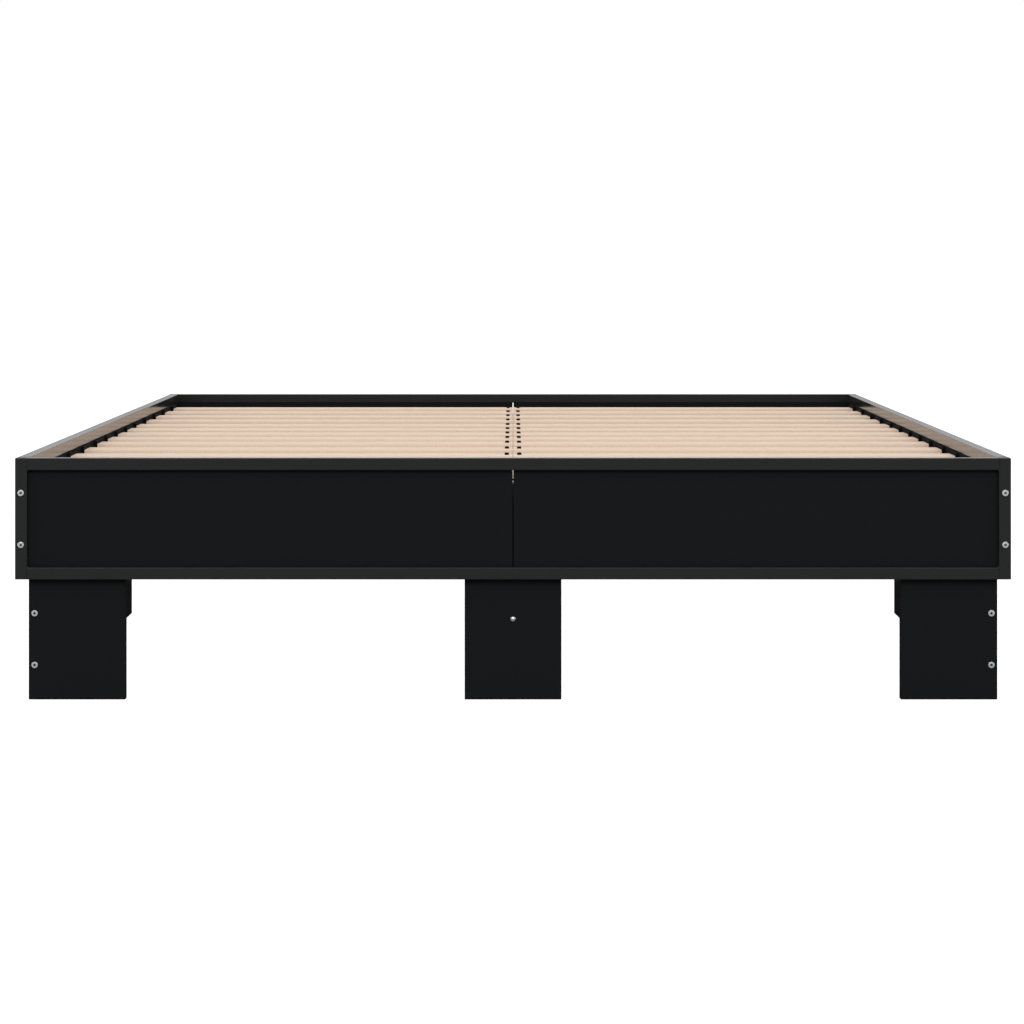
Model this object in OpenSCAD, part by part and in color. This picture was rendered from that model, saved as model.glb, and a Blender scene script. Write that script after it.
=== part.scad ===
// Low platform bed. Four welded frames of square steel tube hold thin infill boards and are bolted
// together at the corners. Board legs stand inside the frames and carry two slat rails and a centre
// beam, and split plywood slats lie across those in plastic holders. Nothing on it moves.
// Millimetres. X across the bed, Y along it with the foot end at -Y, Z up from the floor.

/* [Bed] */
// Width over the side frames
bed_w = 1230; // [900:10:1900]
// Length over the end frames, without the bolt heads
bed_l = 2030; // [1600:10:2300]
// Height of the top of the frames above the floor
bed_h = 300; // [280:5:450]
// Height of the frames
rail_h = 150; // [110:5:180]

/* [Steel tube] */
// Side of the square tube
tube = 15; // [14:0.5:25]
// Wall thickness of the tube
tube_wall = 1.2; // [1:0.1:2]
// Outside radius of the tube's corners
tube_r = 1.6; // [0.5:0.1:2]
// Thickness of the rim of a tube plug
plug_rim = 1; // [0.5:0.1:2]
// How far a plug reaches into its tube
plug_l = 5; // [3:0.5:10]

/* [Infill boards] */
// Thickness of an infill board
panel_t = 6; // [4:0.5:8]
// Gap between an infill board and the tube around it
panel_gap = 0.1; // [0.1:0.1:1]
// Gap between the two halves of an infill
seam = 1.4; // [1:0.2:4]

/* [Legs] */
// Thickness of the leg boards
board = 15; // [12:1:22]
// Width of the boards of a corner leg and of a centre leg
leg_w = 120; // [100:5:160]
// Width of the leg in the middle of a side
mid_leg_w = 150; // [120:5:200]
// Depth of the rib behind a centre leg
rib_w = 105; // [80:5:140]
// How far the slat tops lie under the top of the frames
recess = 20; // [15:1:40]

/* [Slats] */
// Number of rows of slats
slat_rows = 13; // [9:2:13]
// Width of a slat
slat_w = 65; // [50:1:75]
// Thickness of a slat
slat_t = 12; // [10:0.5:15]
// Radius along the edges of a slat
slat_r = 1.5; // [0.5:0.1:3]
// Spacing of the rows in the middle of the bed, where the sleeper's weight is
mid_pitch = 135; // [110:5:145]
// Distance from the end frame to the middle of the outermost row
end_margin = 108; // [90:1:130]
// Gap between the two halves of a row
split = 0.4; // [0.4:0.1:5]
// Gap between the beam or a rail and the end frames
end_gap = 0.5; // [0.3:0.1:2]
// Width of the centre beam
beam_w = 40; // [36:1:60]

/* [Slat holders] */
// Thickness of a holder's floor
floor_t = 1; // [0.8:0.1:2]
// Thickness of a side holder's end wall
end_wall = 4; // [2:0.5:5]
// How far a side holder's end wall stands above the slat
end_rise = 4; // [1:0.5:6]
// Thickness of a side holder's cheeks
cheek_t = 2; // [1.5:0.5:3]
// Height of a side holder's cheeks above its floor
cheek_h = 5; // [3:0.5:8]
// Length of a side holder along the slat
shoe_l = 27; // [20:1:40]
// Gap between a side holder and the side frame, and between a slat and its holder
holder_gap = 0.5; // [0.3:0.1:1]
// Length along the bed of a centre holder's plate
plate_l = 24; // [16:1:40]
// Diameter of the pegs that hold the slats in the middle
peg_d = 6; // [4:0.5:6]
// Distance of a peg from the middle of the bed
peg_x = 8.5; // [7:0.5:12]
// How far a peg stands above the slat
peg_rise = 3; // [1:0.5:5]
// Diameter of the pin under each holder
pin_d = 6; // [4:0.5:8]
// Length of the pin under each holder
pin_l = 6; // [4:0.5:9]

/* [Fasteners] */
// Diameter of the machine bolts
bolt_d = 5; // [4:0.5:6]
// How far a machine bolt reaches into the tube that it is screwed to
bolt_reach = 10; // [8:0.5:12]
// Diameter of the heads of the bolts and of the leg screws
head_d = 8; // [8:0.1:12]
// Height of those heads
head_h = 3; // [2:0.1:4]
// Distance between the two fasteners of a pair
pair = 64; // [48:16:64]
// Length of the leg screws under the head
leg_screw_l = 50; // [40:1:60]
// Diameter of the domed head of the single screw through a centre leg
dome_d = 7; // [6:0.1:9]
// Diameter of the wood dowels
dowel_d = 8; // [6:1:8]
// Length of the wood dowels
dowel_l = 30; // [25:1:40]
// How far a dowel goes into a leg's face board, the rest being in the board behind it
dowel_in = 10; // [8:0.5:10]
// Diameter of the small screws that hold the infill boards
small_d = 3.5; // [3:0.1:4]
// Diameter of the screws down through the beam and the rails
down_d = 4; // [3.5:0.1:5]
// Length of those screws under the head
down_l = 40; // [30:1:50]
// Radial clearance around every fastener, pin and peg
clear = 0.15; // [0.1:0.05:0.4]

/* [Hidden] */
$fn = 40;
half_w = bed_w / 2;
half_l = bed_l / 2;
in_x = half_w - tube;              // inner face of a side frame
in_y = half_l - tube;              // inner face of an end frame
rail_z = bed_h - rail_h;           // underside of the frames
leg_pair_z = rail_z / 2;           // middle of a corner leg's pair of screws
centre_screw_z = rail_z * 2 / 3;   // the single screw through a centre leg
bolt_row_z = rail_z + tube / 2;    // leg bolts, in the middle of the lower tubes
slat_top = bed_h - recess;
slat_z = slat_top - slat_t;        // underside of the slats
seat_z = slat_z - floor_t;         // top of the slat rails and the beam
leg_h = seat_z - tube;             // top of the leg boards
pair_zs = [-pair / 2, pair / 2];
corner_zs = [for (d = pair_zs) rail_z + rail_h / 2 + d];
face_xs = [in_x - leg_w * 3 / 4, in_x - leg_w / 4];
side_ys = [in_y - board - leg_w * 3 / 4, in_y - board - leg_w / 4];
centre_x = leg_w / 3;              // leg bolts and panel screws of a centre leg
mid_y = mid_leg_w * 0.3;           // leg bolts of a middle side leg
panel_z0 = rail_z + tube + panel_gap;
panel_z1 = bed_h - tube - panel_gap;
// Heights of the panel screws, as shares of the height that a leg and a panel have in common
function overlap_z(share) = panel_z0 + share * (leg_h - panel_z0);
panel_screw_z = overlap_z(0.64);
seam_screw_zs = [overlap_z(0.44), overlap_z(0.84)];
panel_screw_l = board + panel_t - 2;
half_rows = (slat_rows - 1) / 2;
last_row_y = in_y - end_margin;
end_pitch = (last_row_y - 2 * mid_pitch) / (half_rows - 2);
holder_x = in_x - holder_gap;      // outer face of a side holder
slat_x1 = holder_x - end_wall - holder_gap;   // outer end of a slat
end_space_y = in_y - (end_margin - slat_w / 2) / 2;   // middle of the space beyond the last slat
rail_end_y = in_y - end_gap - plug_rim;   // end of the tube of the beam and the rails
joint_x = in_x - board / 2;        // middle of a side leg board's thickness
dowel_zs = [leg_pair_z, leg_h - 50];
centre_dowel_zs = [centre_screw_z / 2, leg_h - 50];
rail_screw_ys = [min(mid_pitch / 2, mid_leg_w / 2 - 12), end_space_y];   // screws down into the side legs
nut_d = bolt_d + 2;                // body of a rivet nut
nut_l = tube - 2 * tube_wall - 3;  // its length inside the tube
nut_collar_d = nut_d + 2.2;        // its set collar behind the tube wall
nut_collar_t = 2;

STEEL = "#2a2c2b";
BOARD = "#1a1b1d";
PLYWOOD = "#ecd4bc";
PLASTIC = "#151515";
ZINC = "#b9bbbd";
DOWEL = "#d8b98c";

foot = -1;
head = 1;
left = -1;
right = 1;
ends = [["foot", foot], ["head", head]];
sides = [["left", left], ["right", right]];
// The centre legs: name, the end that the face board looks to, how far out its face is towards that
// end, and where the screw from the beam enters the rib, between two slats
centre_legs = [
  ["foot", foot, in_y, end_space_y],
  ["middle", foot, board / 2, -mid_pitch / 2],
  ["head", head, in_y, end_space_y]
];
LEGS = [for (e = ends, s = sides) str(e[0], "_", s[0], "_leg")];
SLATS = [for (i = [1:slat_rows]) str("slat_row_", i)];

// ---- shared shapes ----

// Rectangle with rounded corners, centred
module round_rect(w, h, r) {
  square([w - 2 * r, h], center = true);
  square([w, h - 2 * r], center = true);
  for (x = [-1, 1], y = [-1, 1])
    translate([x * (w / 2 - r), y * (h / 2 - r)]) circle(r);
}

module tube_section(w) {
  difference() {
    round_rect(w, tube, tube_r);
    square([w - 2 * tube_wall, tube - 2 * tube_wall], center = true);
  }
}

// A child that points along Z is laid along X or along Y
module along_x() { rotate([0, 90, 0]) children(); }
module along_y() { rotate([-90, 0, 0]) children(); }

module tube_x(length) { along_x() linear_extrude(length, center = true) tube_section(tube); }
module tube_y(length, w = tube) { along_y() linear_extrude(length, center = true) tube_section(w); }
module tube_z(z0, z1) { translate([0, 0, z0]) linear_extrude(z1 - z0) tube_section(tube); }

// What is drawn for one side, or one end, is drawn for the other too
module both_x() { for (s = sides) scale_x(s[1]) children(); }
module both_y() { for (e = ends) scale_y(e[1]) children(); }
module scale_x(s) { if (s < 0) mirror([1, 0, 0]) children(); else children(); }
module scale_y(s) { if (s < 0) mirror([0, 1, 0]) children(); else children(); }

module drill(d, depth) { cylinder(d = d + 2 * clear, h = depth, center = true); }

// A dowel's place across a joint, where the face board is on the +Y side
module across_joint() { along_y() translate([0, 0, dowel_in - dowel_l / 2]) children(); }

// ---- places of the fasteners, each with its tip pointing along the child's +Z ----

// Bolts through the end frames' posts, for the +X, +Y corner
module corner_bolt_places() {
  for (z = corner_zs) translate([half_w - tube / 2, half_l, z]) rotate([90, 0, 0]) children();
}

// Leg bolts from inside into the lower tube of the +Y end frame
module end_leg_bolt_places() {
  for (x = concat([centre_x], face_xs)) translate([x, in_y - board, bolt_row_z]) along_y() children();
}

// Leg bolts from inside into the lower tube of the +X side frame
module side_leg_bolt_places() {
  for (y = concat([mid_y], side_ys)) translate([in_x - board, y, bolt_row_z]) along_x() children();
}

// Screws through a corner leg's face board into its side board
module leg_screw_places() {
  for (d = pair_zs) translate([joint_x, in_y, leg_pair_z + d]) rotate([90, 0, 0]) children();
}

module panel_screw_places() {
  for (x = face_xs) translate([x, in_y - board, panel_screw_z]) along_y() children();
  for (y = side_ys) translate([in_x - board, y, panel_screw_z]) along_x() children();
  for (z = seam_screw_zs) {
    translate([centre_x, in_y - board, z]) along_y() children();
    translate([in_x - board, mid_y, z]) along_x() children();
  }
}

// Screws down through the +X slat rail, for the +Y half
module rail_screw_places() {
  for (y = rail_screw_ys) translate([joint_x, y, seat_z]) mirror([0, 0, 1]) children();
}

// Screws down through the centre beam into the ribs of the centre legs
module beam_screw_places() {
  for (l = centre_legs) translate([0, l[1] * l[3], seat_z]) mirror([0, 0, 1]) children();
}

function row_y(i) = let (k = i - half_rows, s = sign(k), n = abs(k))
  s * (n <= 2 ? n * mid_pitch : 2 * mid_pitch + (n - 2) * end_pitch);

// ---- welded frames ----

// End frame: two posts with an upper and a lower tube between them
module end_frame(end) {
  color(STEEL) scale_y(end) difference() {
    union() {
      both_x() translate([half_w - tube / 2, half_l - tube / 2, 0])
        tube_z(rail_z + plug_rim, bed_h - plug_rim);
      for (z = [rail_z + tube / 2, bed_h - tube / 2])
        translate([0, half_l - tube / 2, z]) tube_x(2 * in_x);
    }
    both_x() {
      corner_bolt_places() drill(bolt_d, 2 * tube + 1);
      end_leg_bolt_places() translate([0, 0, board]) drill(nut_d, 2 * tube_wall + 1);
    }
  }
}

// Side frame: two uprights with an upper and a lower tube between them
module side_frame(side) {
  color(STEEL) scale_x(side) difference() {
    union() {
      both_y() translate([half_w - tube / 2, in_y - tube / 2, 0])
        tube_z(rail_z + plug_rim, bed_h - plug_rim);
      for (z = [rail_z + tube / 2, bed_h - tube / 2])
        translate([half_w - tube / 2, 0, z]) tube_y(2 * (in_y - tube));
    }
    both_y() {
      corner_bolt_places() translate([0, 0, tube]) drill(nut_d, 2 * tube_wall + 1);
      side_leg_bolt_places() translate([0, 0, board]) drill(nut_d, 2 * tube_wall + 1);
    }
  }
}

// ---- infill boards ----

module end_panel(end, side) {
  color(BOARD) scale_y(end) scale_x(side) difference() {
    translate([seam / 2, in_y, panel_z0])
      cube([in_x - panel_gap - seam / 2, panel_t, panel_z1 - panel_z0]);
    panel_screw_places() drill(small_d, 2 * panel_screw_l + 1);
  }
}

module side_panel(side, end) {
  color(BOARD) scale_x(side) scale_y(end) difference() {
    translate([in_x, seam / 2, panel_z0])
      cube([panel_t, in_y - tube - panel_gap - seam / 2, panel_z1 - panel_z0]);
    panel_screw_places() drill(small_d, 2 * panel_screw_l + 1);
  }
}

// ---- legs ----

module leg_holes() {
  end_leg_bolt_places() drill(bolt_d, 3 * board);
  side_leg_bolt_places() drill(bolt_d, 3 * board);
  leg_screw_places() drill(bolt_d, 2 * leg_screw_l + 1);
  panel_screw_places() drill(small_d, 3 * board);
  rail_screw_places() drill(down_d, 2 * down_l + 1);
  for (z = dowel_zs) translate([joint_x, in_y - board, z]) across_joint() drill(dowel_d, dowel_l + 1);
}

module corner_leg_face(end, side) {
  color(BOARD) scale_y(end) scale_x(side) difference() {
    translate([in_x - leg_w, in_y - board, 0]) cube([leg_w, board, leg_h]);
    leg_holes();
  }
}

module corner_leg_side(end, side) {
  color(BOARD) scale_y(end) scale_x(side) difference() {
    translate([in_x - board, in_y - board - leg_w, 0]) cube([board, leg_w, leg_h]);
    leg_holes();
  }
}

module middle_leg(side) {
  color(BOARD) scale_x(side) difference() {
    translate([in_x - board, -mid_leg_w / 2, 0]) cube([board, mid_leg_w, leg_h]);
    both_y() leg_holes();
  }
}

// What joins a face board to the rib behind it; the face board's outer side is at Y = 0
module centre_joint_holes() {
  translate([0, 0, centre_screw_z]) along_y() drill(bolt_d, 2 * leg_screw_l + 1);
  for (z = centre_dowel_zs) translate([0, -board, z]) across_joint() drill(dowel_d, dowel_l + 1);
}

module centre_leg_face(y) {
  color(BOARD) difference() {
    translate([-leg_w / 2, y - board, 0]) cube([leg_w, board, leg_h]);
    translate([0, y, 0]) centre_joint_holes();
    both_x() leg_holes();
  }
}

module centre_leg_rib(y, screw_y) {
  color(BOARD) difference() {
    translate([-board / 2, y - board - rib_w, 0]) cube([board, rib_w, leg_h]);
    translate([0, y, 0]) centre_joint_holes();
    translate([0, screw_y, seat_z]) drill(down_d, 2 * down_l + 1);
  }
}

// ---- beam and slat rails ----

module beam() {
  color(STEEL) difference() {
    translate([0, 0, seat_z - tube / 2]) tube_y(2 * rail_end_y, beam_w);
    for (i = [0:slat_rows - 1]) translate([0, row_y(i), seat_z]) drill(pin_d, 2 * tube_wall + 1);
    beam_screw_places() drill(down_d, 3 * tube);
  }
}

module slat_rail(side) {
  color(STEEL) scale_x(side) difference() {
    translate([in_x - tube / 2, 0, seat_z - tube / 2]) tube_y(2 * rail_end_y);
    for (i = [0:slat_rows - 1])
      translate([in_x - tube / 2, row_y(i), seat_z]) drill(pin_d, 2 * tube_wall + 1);
    both_y() rail_screw_places() drill(down_d, 3 * tube);
  }
}

// ---- slats and their holders ----

module slat_row(i) {
  color(PLYWOOD) both_x() difference() {
    translate([split / 2, row_y(i), slat_z + slat_t / 2])
      along_x() linear_extrude(slat_x1 - split / 2) round_rect(slat_t, slat_w, slat_r);
    translate([peg_x, row_y(i), slat_z]) drill(peg_d, 3 * slat_t);
  }
}

// A side holder cups the end of one slat; the +X one, for the row at Y = 0
module side_holder() {
  shoe_w = slat_w + 2 * (cheek_t + 2 * clear);
  translate([holder_x - shoe_l, -shoe_w / 2, seat_z]) cube([shoe_l, shoe_w, floor_t]);
  translate([holder_x - end_wall, -shoe_w / 2, seat_z])
    cube([end_wall, shoe_w, floor_t + slat_t + end_rise]);
  for (y = [-shoe_w / 2, shoe_w / 2 - cheek_t])
    translate([holder_x - shoe_l, y, seat_z]) cube([shoe_l, cheek_t, floor_t + cheek_h]);
  translate([in_x - tube / 2, 0, seat_z - pin_l]) cylinder(d = pin_d, h = pin_l + floor_t / 2);
}

module side_holders(side) {
  color(PLASTIC) scale_x(side)
    for (i = [0:slat_rows - 1]) translate([0, row_y(i), 0]) side_holder();
}

// A centre holder has a peg for each half of the row
module centre_holders() {
  plate = [beam_w - 4, plate_l, floor_t];
  color(PLASTIC) for (i = [0:slat_rows - 1]) translate([0, row_y(i), seat_z]) {
    translate([-plate[0] / 2, -plate[1] / 2, 0]) cube(plate);
    translate([0, 0, -pin_l]) cylinder(d = pin_d, h = pin_l + floor_t / 2);
    both_x() translate([peg_x, 0, floor_t / 2]) cylinder(d = peg_d, h = floor_t / 2 + slat_t + peg_rise);
  }
}

// ---- fasteners; each has its head's underside at Z = 0 and its tip at +Z ----

module hex_head(d, h) {
  difference() {
    translate([0, 0, -h]) cylinder(d = d, h = h);
    translate([0, 0, -h - 1]) cylinder(d = d * 0.45, h = h * 0.7 + 1, $fn = 6);
  }
}

module dome_head(d, h) {
  r = (d * d / 4 + h * h) / (2 * h);
  intersection() {
    translate([0, 0, -h]) cylinder(d = d, h = h);
    translate([0, 0, r - h]) sphere(r);
  }
}

module bolt(length) {
  hex_head(head_d, head_h);
  cylinder(d = bolt_d, h = length);
}

// Screw with a short point
module wood_screw(d, length) {
  tip = d;
  cylinder(d = d, h = length - tip);
  translate([0, 0, length - tip]) cylinder(d1 = d, d2 = 0.6, h = tip, $fn = 32);
}

module pan_screw(d, length) {
  dome_head(2 * d, d / 2);
  wood_screw(d, length);
}

// Rivet nut, seen from the mouth at Z = 0
module rivet_nut() {
  difference() {
    union() {
      cylinder(d = nut_d, h = nut_l);
      translate([0, 0, tube_wall]) cylinder(d = nut_collar_d, h = nut_collar_t);
    }
    translate([0, 0, -1]) cylinder(d = bolt_d + 2 * clear, h = nut_l + 2);
  }
}

module corner_bolts() {
  color(ZINC) both_y() both_x() corner_bolt_places() bolt(tube + bolt_reach);
}

module leg_bolts() {
  color(ZINC) both_y() both_x() {
    end_leg_bolt_places() bolt(board + bolt_reach);
    side_leg_bolt_places() bolt(board + bolt_reach);
  }
}

module rivet_nuts() {
  color(ZINC) both_y() both_x() {
    corner_bolt_places() translate([0, 0, tube]) rivet_nut();
    end_leg_bolt_places() translate([0, 0, board]) rivet_nut();
    side_leg_bolt_places() translate([0, 0, board]) rivet_nut();
  }
}

module leg_screws() {
  color(ZINC) both_y() both_x() leg_screw_places() {
    hex_head(head_d, head_h / 2);
    wood_screw(bolt_d, leg_screw_l);
  }
}

module centre_leg_screws() {
  color(ZINC) for (l = centre_legs)
    scale_y(l[1]) translate([0, l[2], centre_screw_z]) rotate([90, 0, 0]) {
      dome_head(dome_d, head_h * 0.7);
      wood_screw(bolt_d, leg_screw_l);
    }
}

module panel_screws() {
  color(ZINC) both_y() both_x() panel_screw_places() pan_screw(small_d, panel_screw_l);
}

module rail_screws() {
  color(ZINC) {
    both_y() both_x() rail_screw_places() pan_screw(down_d, down_l);
    beam_screw_places() pan_screw(down_d, down_l);
  }
}

module dowel() { across_joint() cylinder(d = dowel_d, h = dowel_l, center = true); }

module dowels() {
  color(DOWEL) {
    both_y() both_x() for (z = dowel_zs) translate([joint_x, in_y - board, z]) dowel();
    for (l = centre_legs, z = centre_dowel_zs) scale_y(l[1]) translate([0, l[2] - board, z]) dowel();
  }
}

// Plug for a tube's open end: a rim over the end and a stub inside; the tube's end is at Z = 0
module plug(w = tube) {
  linear_extrude(plug_rim) round_rect(w - 2 * clear, tube - 2 * clear, tube_r);
  stub = [w - 2 * tube_wall - 2 * clear, tube - 2 * tube_wall - 2 * clear];
  translate([0, 0, -plug_l]) linear_extrude(plug_l + plug_rim / 2) square(stub, center = true);
}

module tube_plugs() {
  color(PLASTIC) both_x() both_y() {
    for (y = [half_l - tube / 2, in_y - tube / 2]) translate([half_w - tube / 2, y, 0]) {
      translate([0, 0, bed_h - plug_rim]) plug();
      translate([0, 0, rail_z + plug_rim]) mirror([0, 0, 1]) plug();
    }
    translate([in_x - tube / 2, rail_end_y, seat_z - tube / 2]) along_y() plug();
  }
  color(PLASTIC) both_y()
    translate([0, rail_end_y, seat_z - tube / 2]) along_y() plug(beam_w);
}

// ---- assembly ----

for (e = ends) end_frame(e[1]);
for (s = sides) side_frame(s[1]);
for (e = ends, s = sides) {
  at = str(e[0], "_", s[0]);
  end_panel(e[1], s[1]);
  side_panel(s[1], e[1]);
  corner_leg_face(e[1], s[1]);
  corner_leg_side(e[1], s[1]);
}
for (s = sides) {
  middle_leg(s[1]);
  slat_rail(s[1]);
  side_holders(s[1]);
}
for (l = centre_legs) scale_y(l[1]) {
  centre_leg_face(l[2]);
  centre_leg_rib(l[2], l[3]);
}
beam();  // centre_beam
for (i = [0:slat_rows - 1]) slat_row(i);
centre_holders();  // centre_slat_holders
corner_bolts();
leg_bolts();
rivet_nuts();
leg_screws();
centre_leg_screws();
panel_screws();
rail_screws();
dowels();
tube_plugs();
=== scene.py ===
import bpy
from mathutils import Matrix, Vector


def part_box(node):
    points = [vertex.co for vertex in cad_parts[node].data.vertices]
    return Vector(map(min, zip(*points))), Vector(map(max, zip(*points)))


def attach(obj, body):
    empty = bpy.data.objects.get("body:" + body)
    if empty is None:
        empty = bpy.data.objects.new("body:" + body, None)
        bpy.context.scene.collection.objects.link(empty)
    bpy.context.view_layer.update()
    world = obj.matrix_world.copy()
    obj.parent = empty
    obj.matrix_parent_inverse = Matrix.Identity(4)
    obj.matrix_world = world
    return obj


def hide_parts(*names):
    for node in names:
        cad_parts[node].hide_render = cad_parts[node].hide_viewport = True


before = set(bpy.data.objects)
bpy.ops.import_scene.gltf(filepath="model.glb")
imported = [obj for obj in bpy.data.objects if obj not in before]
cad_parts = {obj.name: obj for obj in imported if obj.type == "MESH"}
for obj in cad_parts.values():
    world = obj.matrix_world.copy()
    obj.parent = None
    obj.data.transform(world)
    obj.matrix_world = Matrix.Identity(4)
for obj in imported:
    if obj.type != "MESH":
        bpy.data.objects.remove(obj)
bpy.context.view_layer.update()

import math

import bmesh
import bpy
from mathutils import Matrix, Vector

# ---------------------------------------------------------------------------------------------
# Camera. It stands level at the foot end, at about knee height, and looks along the bed. The lens
# is shifted down, so the uprights of the frame stay upright.
# ---------------------------------------------------------------------------------------------
EYE_BACK = 4.470      # from the foot end to the eye
EYE_HEIGHT = 0.5534
LENS = 127.3
SENSOR = 36.0
SHIFT_SIDE, SHIFT_DOWN = -0.001, -0.2531

foot_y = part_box("foot_frame")[0].y

camera_data = bpy.data.cameras.new("camera")
camera_data.lens = LENS
camera_data.sensor_width = SENSOR
camera_data.shift_x = SHIFT_SIDE
camera_data.shift_y = SHIFT_DOWN
camera = bpy.data.objects.new("camera", camera_data)
camera.location = (0, foot_y - EYE_BACK, EYE_HEIGHT)
camera.rotation_euler = (math.pi / 2, 0, 0)
bpy.context.scene.collection.objects.link(camera)
bpy.context.scene.camera = camera

# ---------------------------------------------------------------------------------------------
# Studio. A white sweep all round, which glows more overhead than near the floor, with long soft
# boxes on the four sides. The camera sees it as plain white. The light that it gives the bed is
# set apart from that, and is dimmer.
# ---------------------------------------------------------------------------------------------
GLOW_LOW, GLOW_HIGH = 0.48, 0.80
FLOOR_WHITE = 0.97    # what the camera sees of the floor
FLOOR_SIZE = 60

scene = bpy.context.scene
scene.view_settings.view_transform = "Standard"

world = bpy.data.worlds.new("studio")
scene.world = world
world.use_nodes = True
nodes, links = world.node_tree.nodes, world.node_tree.links
nodes.clear()
sweep = nodes.new("ShaderNodeBackground")
sweep.inputs["Color"].default_value = (1, 1, 1, 1)
room = nodes.new("ShaderNodeBackground")
room.inputs["Color"].default_value = (1, 1, 1, 1)
compass = nodes.new("ShaderNodeTexCoord")
height = nodes.new("ShaderNodeSeparateXYZ")
glow = nodes.new("ShaderNodeMapRange")
glow.inputs["To Min"].default_value = GLOW_LOW
glow.inputs["To Max"].default_value = GLOW_HIGH
links.new(compass.outputs["Generated"], height.inputs["Vector"])
links.new(height.outputs["Z"], glow.inputs["Value"])
links.new(glow.outputs["Result"], room.inputs["Strength"])
path = nodes.new("ShaderNodeLightPath")
either = nodes.new("ShaderNodeMixShader")
out = nodes.new("ShaderNodeOutputWorld")
links.new(path.outputs["Is Camera Ray"], either.inputs["Fac"])
links.new(room.outputs["Background"], either.inputs[1])
links.new(sweep.outputs["Background"], either.inputs[2])
links.new(either.outputs["Shader"], out.inputs["Surface"])


def soft_box(name, place, aim, width, height, power):
    """A rectangular lamp at a place, turned to its aim and hidden from the camera."""
    data = bpy.data.lights.new(name, "AREA")
    data.shape = "RECTANGLE"
    data.size, data.size_y, data.energy = width, height, power
    lamp = bpy.data.objects.new(name, data)
    lamp.location = place
    lamp.rotation_euler = (Vector(aim) - Vector(place)).to_track_quat("-Z", "Y").to_euler()
    lamp.visible_camera = False
    scene.collection.objects.link(lamp)


soft_box("front", (0, -6.5, 2.7), (0, -0.6, 0.1), width=6.0, height=2.0, power=235)
soft_box("back", (0, 7.2, 2.7), (0, 0.6, 0.1), width=6.0, height=2.0, power=70)
for way in (-1, 1):
    soft_box("side", (way * 6.5, 0, 1.4), (0, 0, 0.2), width=6.0, height=1.6, power=115)

bpy.ops.object.select_all(action="DESELECT")
bpy.ops.mesh.primitive_plane_add(size=FLOOR_SIZE)
floor = bpy.context.active_object
floor.name = "floor"
paper = bpy.data.materials.new("floor_paper")
paper.use_nodes = True
nodes, links = paper.node_tree.nodes, paper.node_tree.links
shade = nodes["Principled BSDF"]
shade.inputs["Base Color"].default_value = (0.4, 0.4, 0.4, 1)
shade.inputs["Roughness"].default_value = 0.9
shade.inputs["Specular IOR Level"].default_value = 0.1
shade.inputs["Emission Color"].default_value = (1, 1, 1, 1)
path = nodes.new("ShaderNodeLightPath")
lift = nodes.new("ShaderNodeMath")
lift.operation = "MULTIPLY"
lift.inputs[1].default_value = FLOOR_WHITE
links.new(path.outputs["Is Camera Ray"], lift.inputs[0])
links.new(lift.outputs["Value"], shade.inputs["Emission Strength"])
floor.data.materials.append(paper)

# ---------------------------------------------------------------------------------------------
# Welded frames. Each is four lengths of square steel tube, butted, welded at the corners, ground
# flush outside and powder coated black. The uprights run full height and stay open at their ends.
# ---------------------------------------------------------------------------------------------
TUBE_CORNER = 0.001
TUBE_WALL = 0.0012
PLUG_RIM = 0.001      # of the plug that closes an upright, left free at its end
TUBE_MOUTH = 0.012    # how deep an open end is hollowed
BEAD = 0.0016         # radius of one drop of weld
BEAD_INSET = 0.0022   # from the outer face to the first drop
BEAD_STEP = 0.62      # from drop to drop, in radii
BEAD_DROPS = 5
NEAR = 1e-6           # closer than this counts as the same place


def block(name, low, high):
    """A cube primitive drawn out to a box, with its place kept in its mesh."""
    low, high = Vector(low), Vector(high)
    bpy.ops.object.select_all(action="DESELECT")
    bpy.ops.mesh.primitive_cube_add(size=1, location=(low + high) / 2, scale=high - low)
    piece = bpy.context.active_object
    piece.name = name
    bpy.ops.object.transform_apply(location=True, rotation=True, scale=True)
    return piece


def rod(name, radius, low_z, high_z, sides=32):
    """A cylinder primitive that stands on the Z axis."""
    bpy.ops.object.select_all(action="DESELECT")
    bpy.ops.mesh.primitive_cylinder_add(
        vertices=sides, radius=radius, depth=high_z - low_z, location=(0, 0, (low_z + high_z) / 2)
    )
    piece = bpy.context.active_object
    piece.name = name
    bpy.ops.object.transform_apply(location=True, rotation=True, scale=True)
    return piece


def choose(piece, kind, wanted):
    """Goes to edit mode with only the wanted faces or edges selected. A face is judged by its
    middle and normal, and an edge by its two ends."""
    bpy.ops.object.select_all(action="DESELECT")
    piece.select_set(True)
    bpy.context.view_layer.objects.active = piece
    mesh = piece.data
    for group in (mesh.vertices, mesh.edges, mesh.polygons):
        group.foreach_set("select", [False] * len(group))
    if kind == "FACE":
        for face in mesh.polygons:
            face.select = wanted(face.center, face.normal)
    else:
        for edge in mesh.edges:
            edge.select = wanted(*(mesh.vertices[i].co for i in edge.vertices))
    bpy.context.tool_settings.mesh_select_mode = (False, kind == "EDGE", kind == "FACE")
    bpy.ops.object.mode_set(mode="EDIT")


def done():
    """Leaves edit mode, which every choose() has entered."""
    bpy.ops.object.mode_set(mode="OBJECT")


def round_edges(piece, width, steps, wanted=lambda a, b: True):
    """Bevels the wanted edges, or all of them."""
    choose(piece, "EDGE", wanted)
    bpy.ops.mesh.bevel(offset=width, segments=steps, affect="EDGES", clamp_overlap=True)
    done()


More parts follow.
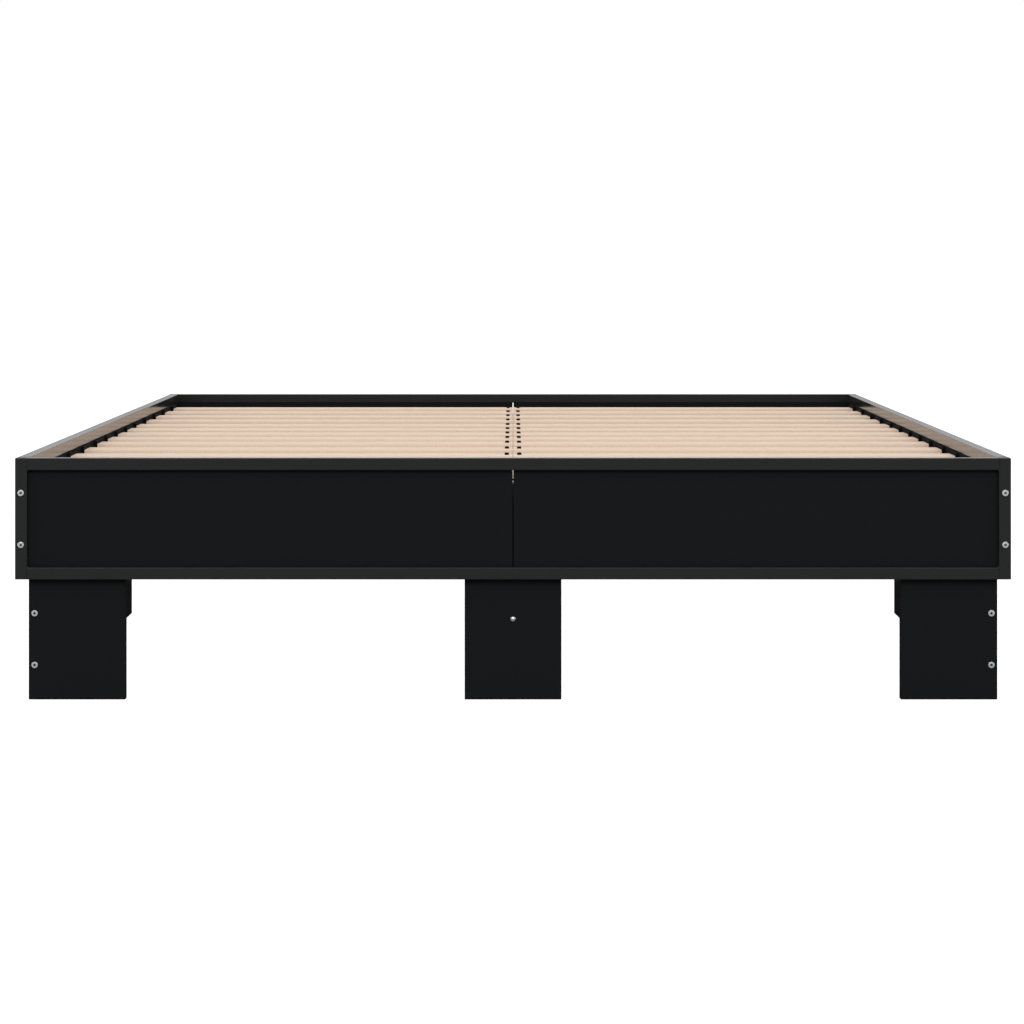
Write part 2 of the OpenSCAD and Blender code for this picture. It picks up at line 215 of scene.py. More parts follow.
def apply_modifier(piece, kind, **settings):
    """Adds one modifier and applies it at once."""
    bpy.ops.object.select_all(action="DESELECT")
    piece.select_set(True)
    bpy.context.view_layer.objects.active = piece
    modifier = piece.modifiers.new(kind.lower(), kind)
    for key, value in settings.items():
        setattr(modifier, key, value)
    bpy.ops.object.modifier_apply(modifier=modifier.name)


def another(piece, name, move):
    """A copy with its own mesh, put in place by a matrix."""
    twin = piece.copy()
    twin.data = piece.data.copy()
    twin.name = name
    scene.collection.objects.link(twin)
    twin.data.transform(move)
    if move.determinant() < 0:
        twin.data.flip_normals()
    return twin


def joined(name, pieces):
    """Several pieces as one mesh. The first of them is kept."""
    bpy.ops.object.select_all(action="DESELECT")
    for piece in pieces:
        piece.select_set(True)
    bpy.context.view_layer.objects.active = pieces[0]
    if len(pieces) > 1:
        bpy.ops.object.join()
    pieces[0].name = name
    return pieces[0]


def discard(*pieces):
    for piece in pieces:
        bpy.data.objects.remove(piece)


def crisp(piece):
    """Smooth shading whose flat faces stay flat and whose rounded edges catch the light."""
    bpy.ops.object.select_all(action="DESELECT")
    piece.select_set(True)
    bpy.context.view_layer.objects.active = piece
    bpy.ops.object.shade_smooth_by_angle(angle=math.radians(50))
    apply_modifier(piece, "WEIGHTED_NORMAL", weight=80, keep_sharp=True)


def along(axis, a, b):
    """Whether the edge from a to b runs along that axis."""
    step = b - a
    return abs(step[axis]) > 0.999 * step.length


def open_tube(name, low, high, axis, open_ends=True):
    """A length of square tube: rounded along its corners and, where an end is open, hollow."""
    piece = block(name, low, high)
    round_edges(piece, TUBE_CORNER, 3, lambda a, b: along(axis, a, b))
    if open_ends:
        choose(piece, "FACE", lambda c, n: abs(n[axis]) > 0.9)
        bpy.ops.mesh.inset(thickness=TUBE_WALL)
        done()
        for way in (-1, 1):
            end = high[axis] if way > 0 else low[axis]
            choose(piece, "FACE", lambda c, n: n[axis] * way > 0.9 and abs(c[axis] - end) < NEAR
                   and all(abs(c[i] - (low[i] + high[i]) / 2) < 1e-5 for i in range(3) if i != axis))
            shift = [0, 0, 0]
            shift[axis] = -way * TUBE_MOUTH
            bpy.ops.mesh.extrude_region_move(TRANSFORM_OT_translate={"value": shift})
            done()
    return piece


def weld_bead(name, start, step, count):
    """A short bead: overlapping drops of weld, melted into one by a fine remesh."""
    bpy.ops.object.select_all(action="DESELECT")
    bpy.ops.mesh.primitive_uv_sphere_add(segments=12, ring_count=8, radius=BEAD, location=start)
    piece = bpy.context.active_object
    piece.name = name
    bpy.ops.object.transform_apply(location=True, rotation=True, scale=True)
    apply_modifier(piece, "ARRAY", count=count, use_relative_offset=False,
                   use_constant_offset=True, constant_offset_displace=step)
    apply_modifier(piece, "REMESH", mode="VOXEL", voxel_size=BEAD / 5)
    return piece


# Speckle and slow drift of tone, shared by every painted, moulded and board surface.
surface = bpy.data.node_groups.new("fine_surface", "ShaderNodeTree")
for socket in ("Size", "Drift"):
    surface.interface.new_socket(socket, in_out="INPUT", socket_type="NodeSocketFloat")
surface.interface.new_socket("Vector", in_out="INPUT", socket_type="NodeSocketVector")
surface.interface.new_socket("Tone", in_out="OUTPUT", socket_type="NodeSocketFloat")
surface.interface.new_socket("Height", in_out="OUTPUT", socket_type="NodeSocketFloat")
nodes, links = surface.nodes, surface.links
entry = nodes.new("NodeGroupInput")
exit_ = nodes.new("NodeGroupOutput")
speckle = nodes.new("ShaderNodeTexNoise")
speckle.inputs["Detail"].default_value = 2.0
drift = nodes.new("ShaderNodeTexNoise")
drift.inputs["Detail"].default_value = 3.0
both = nodes.new("ShaderNodeMix")
both.inputs[0].default_value = 0.35
links.new(entry.outputs["Vector"], speckle.inputs["Vector"])
links.new(entry.outputs["Vector"], drift.inputs["Vector"])
links.new(entry.outputs["Size"], speckle.inputs["Scale"])
links.new(entry.outputs["Drift"], drift.inputs["Scale"])
links.new(drift.outputs["Fac"], both.inputs[2])
links.new(speckle.outputs["Fac"], both.inputs[3])
links.new(both.outputs[0], exit_.inputs["Tone"])
links.new(speckle.outputs["Fac"], exit_.inputs["Height"])


RELIEF = 0.0002       # how far a full bump stands up
EVEN = (1, 1, 1)


def coated(name, dark, light, rough, gloss, size, drift, stretch, bump):
    """A dark finish: two near tones mixed by the fine surface, which also varies the roughness
    and raises the bump. stretch draws the texture out along an axis, as a pressed grain is."""
    material = bpy.data.materials.new(name)
    material.use_nodes = True
    nodes, links = material.node_tree.nodes, material.node_tree.links
    shader = nodes["Principled BSDF"]
    shader.inputs["Specular IOR Level"].default_value = gloss
    where = nodes.new("ShaderNodeTexCoord")
    mapping = nodes.new("ShaderNodeMapping")
    mapping.inputs["Scale"].default_value = stretch
    fine = nodes.new("ShaderNodeGroup")
    fine.node_tree = surface
    fine.inputs["Size"].default_value = size
    fine.inputs["Drift"].default_value = drift
    tone = nodes.new("ShaderNodeMix")
    tone.data_type = "RGBA"
    tone.inputs[6].default_value = (*dark, 1)
    tone.inputs[7].default_value = (*light, 1)
    sheen = nodes.new("ShaderNodeMapRange")
    sheen.inputs["To Min"].default_value = rough[0]
    sheen.inputs["To Max"].default_value = rough[1]
    relief = nodes.new("ShaderNodeBump")
    relief.inputs["Strength"].default_value = bump
    relief.inputs["Distance"].default_value = RELIEF
    links.new(where.outputs["Object"], mapping.inputs["Vector"])
    links.new(mapping.outputs["Vector"], fine.inputs["Vector"])
    links.new(fine.outputs["Tone"], tone.inputs[0])
    links.new(fine.outputs["Tone"], sheen.inputs["Value"])
    links.new(fine.outputs["Height"], relief.inputs["Height"])
    links.new(tone.outputs[2], shader.inputs["Base Color"])
    links.new(sheen.outputs["Result"], shader.inputs["Roughness"])
    links.new(relief.outputs["Normal"], shader.inputs["Normal"])
    return material


powder_coat = coated(
    "black_powder_coat", dark=(0.0106, 0.0117, 0.0112), light=(0.0148, 0.0159, 0.0154),
    rough=(0.12, 0.19), gloss=0.18, size=1100, drift=9, stretch=EVEN, bump=0.06,
)


def seat(piece, node, material):
    """Gives a finished piece its material and its place in the frame."""
    piece.data.materials.clear()
    piece.data.materials.append(material)
    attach(piece, "root")
    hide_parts(node)


def frame_tubes(node, run):
    """The four tubes and four beads of one frame. run is the axis that the frame is long in."""
    low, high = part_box(node)
    across = 1 - run
    side = high[across] - low[across]
    parts = []
    for end in (0, 1):
        a, b = low.copy(), high.copy()
        a.z, b.z = low.z + PLUG_RIM, high.z - PLUG_RIM
        if end == 0:
            b[run] = low[run] + side
        else:
            a[run] = high[run] - side
        parts.append(open_tube(f"{node}_upright", a, b, 2))
    for level in (0, 1):
        a, b = low.copy(), high.copy()
        a[run], b[run] = low[run] + side, high[run] - side
        if level == 0:
            b.z = low.z + side
        else:
            a.z = high.z - side
        parts.append(open_tube(f"{node}_tube", a, b, run, open_ends=False))
    outward = 1 if low[across] > 0 else -1
    outer = high[across] if outward > 0 else low[across]
    for x in (low[run] + side, high[run] - side):
        for z in (low.z + side, high.z - side):
            start = [0, 0, z]
            start[run] = x
            start[across] = outer - outward * BEAD_INSET
            step = [0, 0, 0]
            step[across] = -outward * BEAD * BEAD_STEP
            parts.append(weld_bead(f"{node}_bead", start, step, BEAD_DROPS))
    return joined(node + "_welded", parts)


for node, run in (("foot_frame", 0), ("head_frame", 0), ("left_frame", 1), ("right_frame", 1)):
    welded = frame_tubes(node, run)
    crisp(welded)
    seat(welded, node, powder_coat)

# ---------------------------------------------------------------------------------------------
# Infill boards. Thin engineered wood with a matt black pressed face, one board each side of the
# seam in every frame, set back from the front of the tubes.
# ---------------------------------------------------------------------------------------------
PANEL_EDGE = 0.0002
BOARD_DARK, BOARD_LIGHT = (0.0080, 0.0084, 0.0094), (0.0096, 0.0102, 0.0112)
SIDEWAYS, LENGTHWAYS, UPRIGHT = (0.06, 1, 1), (1, 0.06, 1), (1, 1, 0.06)  # the pressed grain's run

board_finish = {}
for axis, stretch in (("x", SIDEWAYS), ("y", LENGTHWAYS), ("z", UPRIGHT)):
    board_finish[axis] = coated(
        f"black_board_{axis}", dark=BOARD_DARK, light=BOARD_LIGHT,
        rough=(0.72, 0.82), gloss=0.015, size=900, drift=4, stretch=stretch, bump=0.1,
    )
ends, sides = ("foot", "head"), ("left", "right")
for end in ends:
    for side in sides:
        for node, axis in ((f"{end}_{side}_panel", "x"), (f"{side}_side_{end}_panel", "y")):
            panel = block(node + "_board", *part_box(node))
            round_edges(panel, PANEL_EDGE, 2)
            crisp(panel)
            seat(panel, node, board_finish[axis])

# ---------------------------------------------------------------------------------------------
# Leg boards. 15 mm engineered wood, black on both faces, with a black band glued round the edges
# that shows as a hairline. Two make an L at each corner and a T in the middle.
# ---------------------------------------------------------------------------------------------
BOARD_EDGE = 0.0009
BAND = 0.0012         # thickness of the glued edge band
HAIRLINE = 0.00008    # width and depth of the line where the band meets the face

corner_boards = [f"{e}_{s}_leg_{part}" for e in ends for s in sides for part in ("face", "side")]
middle_boards = [f"{s}_middle_leg" for s in sides]
centre_boards = [
    f"{place}_centre_leg_{part}" for place in ("foot", "middle", "head") for part in ("face", "rib")
]


def at_corner(point, low, high):
    """Whether a point is one of the eight corners of a box."""
    return all(min(abs(point[i] - low[i]), abs(point[i] - high[i])) < NEAR for i in range(3))


for node in corner_boards + middle_boards + centre_boards:
    low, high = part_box(node)
    thin = min(range(3), key=lambda i: high[i] - low[i])
    leg = block(node + "_board", low, high)
    choose(leg, "FACE", lambda c, n: abs(n[thin]) > 0.9)
    bpy.ops.mesh.inset(thickness=BAND)
    for dip in (-HAIRLINE, HAIRLINE):
        bpy.ops.mesh.inset(thickness=HAIRLINE, depth=dip)
    done()
    round_edges(leg, BOARD_EDGE, 3,
                lambda a, b: at_corner(a, low, high) and at_corner(b, low, high))
    crisp(leg)
    seat(leg, node, board_finish["z"])

# ---------------------------------------------------------------------------------------------
# Centre beam and slat rails. Flat and square steel tube with a dull black coat, lying on the
# tops of the leg boards from end to end, where the slats hide them.
# ---------------------------------------------------------------------------------------------
dull_coat = coated(
    "dull_black_coat", dark=(0.0062, 0.0066, 0.0066), light=(0.0090, 0.0095, 0.0095),
    rough=(0.6, 0.72), gloss=0.05, size=1100, drift=9, stretch=EVEN, bump=0.12,
)
for node in ("centre_beam", "left_slat_rail", "right_slat_rail"):
    low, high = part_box(node)
    rail = open_tube(node + "_tube", low, high, 1)
    crisp(rail)
    seat(rail, node, dull_coat)

# ---------------------------------------------------------------------------------------------
# Slats. Light plywood, sanded and left bare, with eased long edges. Each row is two halves that
# meet over the beam, and each half has a hole for the peg that holds it there.
# ---------------------------------------------------------------------------------------------
SLAT_EDGE = 0.0015
SLAT_END_EDGE = 0.0003
HOLE = 0.00315        # radius
PEG_X = 0.0085        # from the middle of the bed to a peg
DRILL_OVERSHOOT = 0.01
PLIES = 9
GLUE_SHARE = 0.12     # of a ply's thickness


def solids(node):
    """The box of each separate solid in a CAD node, sorted by place."""
    work = bmesh.new()
    work.from_mesh(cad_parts[node].data)
    bmesh.ops.remove_doubles(work, verts=work.verts, dist=NEAR)
    found, seen = [], set()
    for start in work.verts:
        if start in seen:
            continue
        seen.add(start)
        heap, part = [start], []
        while heap:
            vertex = heap.pop()
            part.append(vertex.co.copy())
            for link in vertex.link_edges:
                other = link.other_vert(vertex)
                if other not in seen:
                    seen.add(other)
                    heap.append(other)
        low = Vector(min(p[i] for p in part) for i in range(3))
        high = Vector(max(p[i] for p in part) for i in range(3))
        found.append((low, high))
    work.free()
    return sorted(found, key=lambda b: tuple(round(v, 4) for v in b[0]))


slat_low, slat_high = solids("slat_row_1")[-1]  # the right half
slat_mid = (slat_low + slat_high) / 2
plywood = bpy.data.materials.new("bare_plywood")
plywood.use_nodes = True
nodes, links = plywood.node_tree.nodes, plywood.node_tree.links
shader = nodes["Principled BSDF"]
shader.inputs["Specular IOR Level"].default_value = 0.12
where = nodes.new("ShaderNodeTexCoord")


# This and the next three add nodes to whichever material nodes and links stand for at the time.
def stretched_noise(scale, size, detail, rough=0.5):
    """Noise on the object's own coordinates, drawn out along the slat."""
    mapping = nodes.new("ShaderNodeMapping")
    mapping.inputs["Scale"].default_value = scale
    noise = nodes.new("ShaderNodeTexNoise")
    noise.inputs["Scale"].default_value = size
    noise.inputs["Detail"].default_value = detail
    noise.inputs["Roughness"].default_value = rough
    links.new(where.outputs["Object"], mapping.inputs["Vector"])
    links.new(mapping.outputs["Vector"], noise.inputs["Vector"])
    return noise.outputs["Fac"]


def mixed(share, first, second):
    """Two colours mixed. Each of the three can be a value or the output of another node."""
    mix = nodes.new("ShaderNodeMix")
    mix.data_type = "RGBA"
    for socket, value in ((0, share), (6, first), (7, second)):
        if isinstance(value, bpy.types.NodeSocket):
            links.new(value, mix.inputs[socket])
        elif socket:
            mix.inputs[socket].default_value = (*value, 1)
        else:
            mix.inputs[socket].default_value = value
    return mix.outputs[2]


def ranged(value, low, high, to_low=0.0, to_high=1.0):
    """The stretch of a value from low to high, drawn out to another stretch."""
    remap = nodes.new("ShaderNodeMapRange")
    remap.inputs["From Min"].default_value = low
    remap.inputs["From Max"].default_value = high
    remap.inputs["To Min"].default_value = to_low
    remap.inputs["To Max"].default_value = to_high
    links.new(value, remap.inputs["Value"])
    return remap.outputs["Result"]


def maths(operation, first, second=0.0):
    """One sum on values or on the outputs of other nodes."""
    node = nodes.new("ShaderNodeMath")
    node.operation = operation
    for socket, value in ((0, first), (1, second)):
        if isinstance(value, bpy.types.NodeSocket):
            links.new(value, node.inputs[socket])
        else:
            node.inputs[socket].default_value = value
    return node.outputs["Value"]


# The face is a pale veneer with slow drift, darker bands along the grain, and fine fibres.
PALE, WARM, BANDED = (0.77, 0.602, 0.466), (0.79, 0.582, 0.46), (0.74, 0.572, 0.44)
FIBRE = (0.62, 0.44, 0.30)
slow = ranged(stretched_noise((0.25, 1, 1), size=6.5, detail=1), 0.35, 0.65)
veneer = mixed(slow, PALE, WARM)
bands = ranged(stretched_noise((0.05, 1, 1), size=34, detail=4), 0.4, 0.62)
veneer = mixed(bands, veneer, BANDED)
fibres = ranged(stretched_noise((0.012, 1, 1), size=900, detail=3, rough=0.6), 0.48, 0.7)
face = mixed(maths("MULTIPLY", fibres, 0.35), veneer, FIBRE)

# The edges show the plies: every second one in end grain, with thin lines of glue between. The end
# grain colours are partly grain and partly painted light: they are set lighter than the face veneer
# to stand in for light that the slat edges don't get.
END_GRAIN_PALE_WITH_PAINTED_LIGHT, END_GRAIN_DEEP_WITH_PAINTED_LIGHT, GLUE = (0.86, 0.665, 0.51), (0.78, 0.59, 0.44), (0.48, 0.33, 0.21)
depth = nodes.new("ShaderNodeSeparateXYZ")
links.new(where.outputs["Object"], depth.inputs["Vector"])
rise = maths("SUBTRACT", depth.outputs["Z"], slat_low.z)
layer = maths("MULTIPLY", rise, PLIES / (slat_high.z - slat_low.z))
odd = maths("GREATER_THAN", maths("MODULO", layer, 2.0), 1.0)
glue = maths("LESS_THAN", maths("FRACT", layer), GLUE_SHARE)
pores = ranged(stretched_noise((1, 1, 0.3), size=700, detail=2), 0.4, 0.65)
# Painted light: the end grain colours here are lighter than the face, a painted brightening of the
# slat edges on top of their real ply pattern.
edge = mixed(odd, veneer, mixed(pores, END_GRAIN_PALE_WITH_PAINTED_LIGHT, END_GRAIN_DEEP_WITH_PAINTED_LIGHT))
edge = mixed(maths("MULTIPLY", glue, 0.4), edge, GLUE)
normal = nodes.new("ShaderNodeNewGeometry")
facing = nodes.new("ShaderNodeSeparateXYZ")
links.new(normal.outputs["Normal"], facing.inputs["Vector"])
flat = ranged(maths("ABSOLUTE", facing.outputs["Z"]), 0.6, 0.8)
links.new(mixed(flat, edge, face), shader.inputs["Base Color"])
links.new(ranged(fibres, 0, 1, 0.52, 0.68), shader.inputs["Roughness"])
relief = nodes.new("ShaderNodeBump")
relief.inputs["Strength"].default_value = 0.18
relief.inputs["Distance"].default_value = RELIEF
links.new(fibres, relief.inputs["Height"])
links.new(relief.outputs["Normal"], shader.inputs["Normal"])

half_slat = block("half_slat", slat_low, slat_high)
round_edges(half_slat, SLAT_EDGE, 3, lambda a, b: along(0, a, b))
round_edges(half_slat, SLAT_END_EDGE, 1, lambda a, b: abs(a.x - b.x) < NEAR)
drill = rod("drill", HOLE, slat_low.z - DRILL_OVERSHOOT, slat_high.z + DRILL_OVERSHOOT, sides=24)
drill.data.transform(Matrix.Translation((PEG_X, slat_mid.y, 0)))
apply_modifier(half_slat, "BOOLEAN", operation="DIFFERENCE", object=drill, solver="EXACT")
rows = [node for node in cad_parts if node.startswith("slat_row_")]
mirrored = Matrix.Scale(-1, 4, (1, 0, 0))
for node in sorted(rows, key=lambda n: int(n.removeprefix("slat_row_"))):
    low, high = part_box(node)
    shift = Matrix.Translation((0, (low.y + high.y) / 2 - slat_mid.y, 0))
    halves = [another(half_slat, node + "_half", move) for move in (shift, shift @ mirrored)]
    row = joined(node + "_slats", halves)
    crisp(row)
    seat(row, node, plywood)
discard(half_slat, drill)

# ---------------------------------------------------------------------------------------------
# Slat holders. Moulded black plastic. A side holder is a shallow tray with a tall end wall and a
# pin that snaps into the rail, and a centre holder is a plate with a peg for each half slat.
# ---------------------------------------------------------------------------------------------
FLOOR = 0.001
CHEEK = 0.002
CHEEK_RISE = 0.005
END_WALL = 0.004
MOULD_EDGE = 0.0004
PLATE_CORNER = 0.003
PIN, PIN_LENGTH = 0.003, 0.006
PIN_TIP = 0.0008      # eased off at its end
PEG = 0.003
PEG_TIP = 0.0012

moulded = coated(
    "black_plastic", dark=(0.0058, 0.0058, 0.0060), light=(0.0080, 0.0080, 0.0082),
    rough=(0.75, 0.85), gloss=0.02, size=1500, drift=12, stretch=EVEN, bump=0.15,
)
right = solids("right_slat_holders")
low, high = right[0]
wall_x = high.x - END_WALL
cheek_y = (high.y - low.y) / 2 - CHEEK
mid_y = (low.y + high.y) / 2
base = low.z + PIN_LENGTH
shoe = block("side_holder", (low.x, low.y, base), (high.x, high.y, base + FLOOR))
choose(shoe, "FACE", lambda c, n: True)
bpy.ops.mesh.bisect(plane_co=(wall_x, 0, 0), plane_no=(1, 0, 0))
bpy.ops.mesh.select_all(action="SELECT")
bpy.ops.mesh.bisect(plane_co=(0, mid_y - cheek_y, 0), plane_no=(0, 1, 0))
bpy.ops.mesh.select_all(action="SELECT")
bpy.ops.mesh.bisect(plane_co=(0, mid_y + cheek_y, 0), plane_no=(0, 1, 0))
done()
choose(shoe, "FACE", lambda c, n: n.z > 0.9 and (c.x > wall_x or abs(c.y - mid_y) > cheek_y))
bpy.ops.mesh.extrude_region_move(TRANSFORM_OT_translate={"value": (0, 0, CHEEK_RISE)})
done()
choose(shoe, "FACE", lambda c, n: n.z > 0.9 and c.x > wall_x)
bpy.ops.mesh.extrude_region_move(
    TRANSFORM_OT_translate={"value": (0, 0, high.z - base - FLOOR - CHEEK_RISE)})
done()
apply_modifier(shoe, "BEVEL", width=MOULD_EDGE, segments=2,
               limit_method="ANGLE", angle_limit=math.radians(40))
pin = rod("pin", PIN, -PIN_LENGTH, 0, sides=20)
round_edges(pin, PIN_TIP, 2, lambda a, b: max(a.z, b.z) < -PIN_LENGTH + NEAR)
rail_low, rail_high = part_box("right_slat_rail")
pin.data.transform(Matrix.Translation(((rail_low.x + rail_high.x) / 2, mid_y, base)))
shoe = joined("side_holder", [shoe, pin])
for side, flip in (("left", mirrored), ("right", Matrix.Identity(4))):
    node = f"{side}_slat_holders"
    copies = []
    for low, high in solids(node):
        shift = Matrix.Translation((0, (low.y + high.y) / 2 - mid_y, 0))
        copies.append(another(shoe, node, shift @ flip))
    holders = joined(node + "_moulded", copies)
    crisp(holders)
    seat(holders, node, moulded)
discard(shoe)

centre = solids("centre_slat_holders")
low, high = centre[0]
base = low.z + PIN_LENGTH
mid_y = (low.y + high.y) / 2
plate = block("centre_holder", (low.x, low.y, base), (high.x, high.y, base + FLOOR))
round_edges(plate, PLATE_CORNER, 4, lambda a, b: along(2, a, b))
round_edges(plate, MOULD_EDGE * 0.8, 2, lambda a, b: min(a.z, b.z) > base + FLOOR - NEAR)
parts = [plate]
for x in (-PEG_X, PEG_X):
    peg = rod("peg", PEG, base + FLOOR, high.z, sides=24)
    round_edges(peg, PEG_TIP, 4, lambda a, b: min(a.z, b.z) > high.z - NEAR)
    peg.data.transform(Matrix.Translation((x, mid_y, 0)))
    parts.append(peg)
pin = rod("pin", PIN, base - PIN_LENGTH, base, sides=20)
pin.data.transform(Matrix.Translation((0, mid_y, 0)))
holder = joined("centre_holder", parts + [pin])
copies = []
for low, high in centre:
    shift = Matrix.Translation((0, (low.y + high.y) / 2 - mid_y, 0))
    copies.append(another(holder, "centre", shift))
holders = joined("centre_slat_holders_moulded", copies)
crisp(holders)
seat(holders, "centre_slat_holders", moulded)
discard(holder)

# ---------------------------------------------------------------------------------------------
# Bolts and screws. Zinc-plated steel. The bolts and the leg screws have flat heads with a hex
# socket, the centre legs' screws have plain domed heads, and the small ones a cross recess.
# ---------------------------------------------------------------------------------------------
zinc = bpy.data.materials.new("bright_zinc")
zinc.use_nodes = True
nodes, links = zinc.node_tree.nodes, zinc.node_tree.links
shader = nodes["Principled BSDF"]
shader.inputs["Metallic"].default_value = 1.0
where = nodes.new("ShaderNodeTexCoord")
fine = nodes.new("ShaderNodeGroup")
fine.node_tree = surface
fine.inputs["Size"].default_value = 2200
fine.inputs["Drift"].default_value = 300
links.new(where.outputs["Object"], fine.inputs["Vector"])
zinc_tone = mixed(fine.outputs["Tone"], (0.46, 0.465, 0.47), (0.58, 0.585, 0.59))
links.new(zinc_tone, shader.inputs["Base Color"])
links.new(ranged(fine.outputs["Tone"], 0.3, 0.7, 0.28, 0.42), shader.inputs["Roughness"])

HEX_SHARE = 0.43      # of the head's radius
HEX_DEPTH = 0.7       # of the head's height
DRILL_POINT = 0.0014  # of the cone under the socket
HEAD_EDGE = 0.0006
CUT_OVERSHOOT = 0.001
CROSS_LENGTH, CROSS_WIDTH = 1.1, 0.2  # of the head's radius
CROSS_BOTTOM = 0.45   # of the head's height


def flat_head(radius, height, length, shank):
    """A fastener on the Z axis: the head stands below zero, the shank runs up from it, and the
    head has a hex socket."""
    bolt = rod("fastener", radius, -height, 0)
    choose(bolt, "FACE", lambda c, n: n.z > 0.9)
    bpy.ops.mesh.inset(thickness=radius - shank)
    bpy.ops.mesh.extrude_region_move(TRANSFORM_OT_translate={"value": (0, 0, length)})
    done()
    round_edges(bolt, min(HEAD_EDGE, height / 3), 3, lambda a, b: max(a.z, b.z) < -height + NEAR)
    round_edges(bolt, shank * 0.4, 2, lambda a, b: min(a.z, b.z) > length - NEAR)
    cutter = rod("cutter", radius * HEX_SHARE,
                 -height - CUT_OVERSHOOT, -height * (1 - HEX_DEPTH), sides=6)
    choose(cutter, "FACE", lambda c, n: n.z > 0.9)
    bpy.ops.mesh.extrude_region_move(TRANSFORM_OT_translate={"value": (0, 0, DRILL_POINT)})
    bpy.ops.transform.resize(value=(0.05, 0.05, 1), center_override=(0, 0, 0))
    done()
    apply_modifier(bolt, "BOOLEAN", operation="DIFFERENCE", object=cutter, solver="EXACT")
    discard(cutter)
    return bolt


def domed_head(radius, height, length, shank, cross=True):
    """As flat_head, with the head drawn out of a ball and, where it is driven, a cross cut in."""
    bpy.ops.object.select_all(action="DESELECT")
    bpy.ops.mesh.primitive_uv_sphere_add(segments=28, ring_count=14, radius=radius)
    head = bpy.context.active_object
    head.scale = (1, 1, height / radius)
    bpy.ops.object.transform_apply(location=False, rotation=False, scale=True)
    choose(head, "FACE", lambda c, n: True)
    bpy.ops.mesh.bisect(plane_co=(0, 0, 0), plane_no=(0, 0, 1), clear_outer=True, use_fill=True)
    done()
    if cross:
        arm = (radius * CROSS_LENGTH, radius * CROSS_WIDTH)
        for wide, deep in (arm, arm[::-1]):
            cutter = block("cutter", (-wide / 2, -deep / 2, -height - CUT_OVERSHOOT),
                           (wide / 2, deep / 2, -height * CROSS_BOTTOM))
            apply_modifier(head, "BOOLEAN", operation="DIFFERENCE", object=cutter, solver="EXACT")
            discard(cutter)
    body = rod("shank", shank, 0, length, sides=16)
    round_edges(body, shank * 0.6, 1, lambda a, b: min(a.z, b.z) > length - NEAR)
    return joined("fastener", [head, body])


def towards(direction):
    """The turn that lays the fastener's tip along that direction."""
    return Vector((0, 0, 1)).rotation_difference(Vector(direction)).to_matrix().to_4x4()


def fastened(node, shape, size, tip_direction, **details):
    """Makes one fastener and puts a copy of it at every solid of a CAD node. tip_direction tells
    from a solid's box which way the tip points."""
    model = shape(*size, **details)
    head_height = size[1]
    copies = []
    for low, high in solids(node):
        tip = Vector(tip_direction(low, high))
        middle = (low + high) / 2
        reach = sum(abs(tip[i]) * (high[i] - low[i]) for i in range(3)) / 2
        seat_point = middle - tip * (reach - head_height)
        copies.append(another(model, node, Matrix.Translation(seat_point) @ towards(tip)))
    discard(model)
    piece = joined(node + "_zinc", copies)
    crisp(piece)
    seat(piece, node, zinc)


def inward_y(low, high):
    """Along the bed, towards its middle."""
    return (0, -1 if low.y > 0 else 1, 0)


def outward_long(low, high):
    """Out of the bed along the solid's own length."""
    size, middle = high - low, (low + high) / 2
    axis = 0 if size.x > size.y else 1
    return [math.copysign(1, middle[i]) if i == axis else 0 for i in range(3)]


def along_side(low, high):
    """The middle leg's screw points to the head end, as the foot leg's does."""
    return (0, -1 if low.y > 0.5 else 1, 0)


def straight_down(low, high):
    return (0, 0, -1)


# Of each kind: radius of the head, its height, length of the shank, radius of the shank.
BOLT = (0.004, 0.003, 0.025, 0.0025)
LEG_SCREW = (0.004, 0.0015, 0.05, 0.0025)
CENTRE_SCREW = (0.0035, 0.0021, 0.05, 0.0025)
PANEL_SCREW = (0.0035, 0.00175, 0.019, 0.00175)
RAIL_SCREW = (0.004, 0.002, 0.04, 0.002)
fastened("corner_bolts", flat_head, BOLT, inward_y)
fastened("leg_bolts", flat_head, BOLT, outward_long)
fastened("leg_screws", flat_head, LEG_SCREW, inward_y)
fastened("centre_leg_screws", domed_head, CENTRE_SCREW, along_side, cross=False)
fastened("panel_screws", domed_head, PANEL_SCREW, outward_long)
fastened("rail_screws", domed_head, RAIL_SCREW, straight_down)

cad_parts["rivet_nuts"].data.materials.clear()
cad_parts["rivet_nuts"].data.materials.append(zinc)

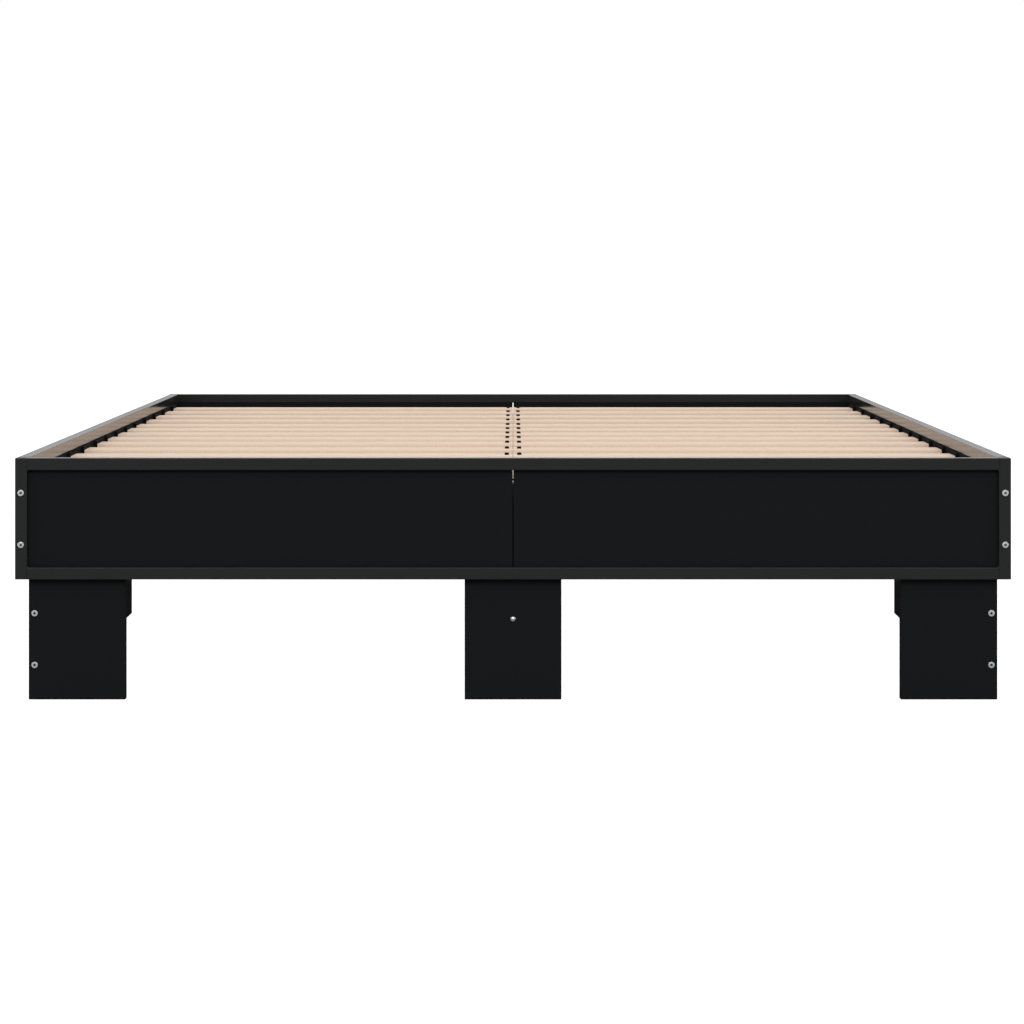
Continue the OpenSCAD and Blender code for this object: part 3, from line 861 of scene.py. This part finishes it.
# ---------------------------------------------------------------------------------------------
# Tube plugs and dowels. The plugs are moulded caps pushed into the open ends of the tubes. The
# beech dowels sit inside the joints of the legs and don't show.
# ---------------------------------------------------------------------------------------------
PLUG_STUB = 0.005     # how far it reaches into the tube
PLUG_FIT = 0.0003     # left free across the stub
STUB_EDGE = 0.0006
plug_plastic = coated(
    "plug_plastic", dark=(0.0200, 0.0205, 0.0210), light=(0.0250, 0.0255, 0.0260),
    rough=(0.45, 0.55), gloss=0.2, size=1500, drift=12, stretch=EVEN, bump=0.15,
)


def cap(width, depth):
    """A plug on the Z axis: its rim stands above zero and its stub below."""
    rim = block("cap", (-width / 2, -depth / 2, 0), (width / 2, depth / 2, PLUG_RIM))
    round_edges(rim, TUBE_CORNER, 3, lambda a, b: along(2, a, b))
    round_edges(rim, MOULD_EDGE, 2, lambda a, b: min(a.z, b.z) > PLUG_RIM - NEAR)
    inner = TUBE_WALL * 2 + PLUG_FIT
    stub = block("stub", (inner / 2 - width / 2, inner / 2 - depth / 2, -PLUG_STUB),
                 (width / 2 - inner / 2, depth / 2 - inner / 2, 0))
    round_edges(stub, STUB_EDGE, 1, lambda a, b: max(a.z, b.z) < -PLUG_STUB + NEAR)
    return joined("cap", [rim, stub])


caps = []
frame_low, frame_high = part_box("foot_frame")
for low, high in solids("tube_plugs"):
    size, middle = high - low, (low + high) / 2
    if size.z < size.y:  # the cap of an upright, which lies flat
        plug_cap = cap(size.x, size.y)
        top = middle.z > (frame_low.z + frame_high.z) / 2
        out_z = 1 if top else -1
        turn = Matrix.Scale(out_z, 4, (0, 0, 1))
        rim_z = high.z - PLUG_RIM if top else low.z + PLUG_RIM
        seat_point = Vector((middle.x, middle.y, rim_z))
    else:
        plug_cap = cap(size.x, size.z)
        way = math.copysign(1, middle.y)
        turn = Matrix.Rotation(-way * math.pi / 2, 4, "X")
        rim_y = high.y - PLUG_RIM if way > 0 else low.y + PLUG_RIM
        seat_point = Vector((middle.x, rim_y, middle.z))
    caps.append(another(plug_cap, "cap", Matrix.Translation(seat_point) @ turn))
    discard(plug_cap)
plugs = joined("tube_plugs_moulded", caps)
crisp(plugs)
seat(plugs, "tube_plugs", plug_plastic)

beech = coated(
    "beech", dark=(0.50, 0.33, 0.18), light=(0.66, 0.47, 0.28),
    rough=(0.5, 0.65), gloss=0.4, size=900, drift=60, stretch=(1, 0.08, 1), bump=0.2,
)
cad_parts["dowels"].data.materials.clear()
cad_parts["dowels"].data.materials.append(beech)
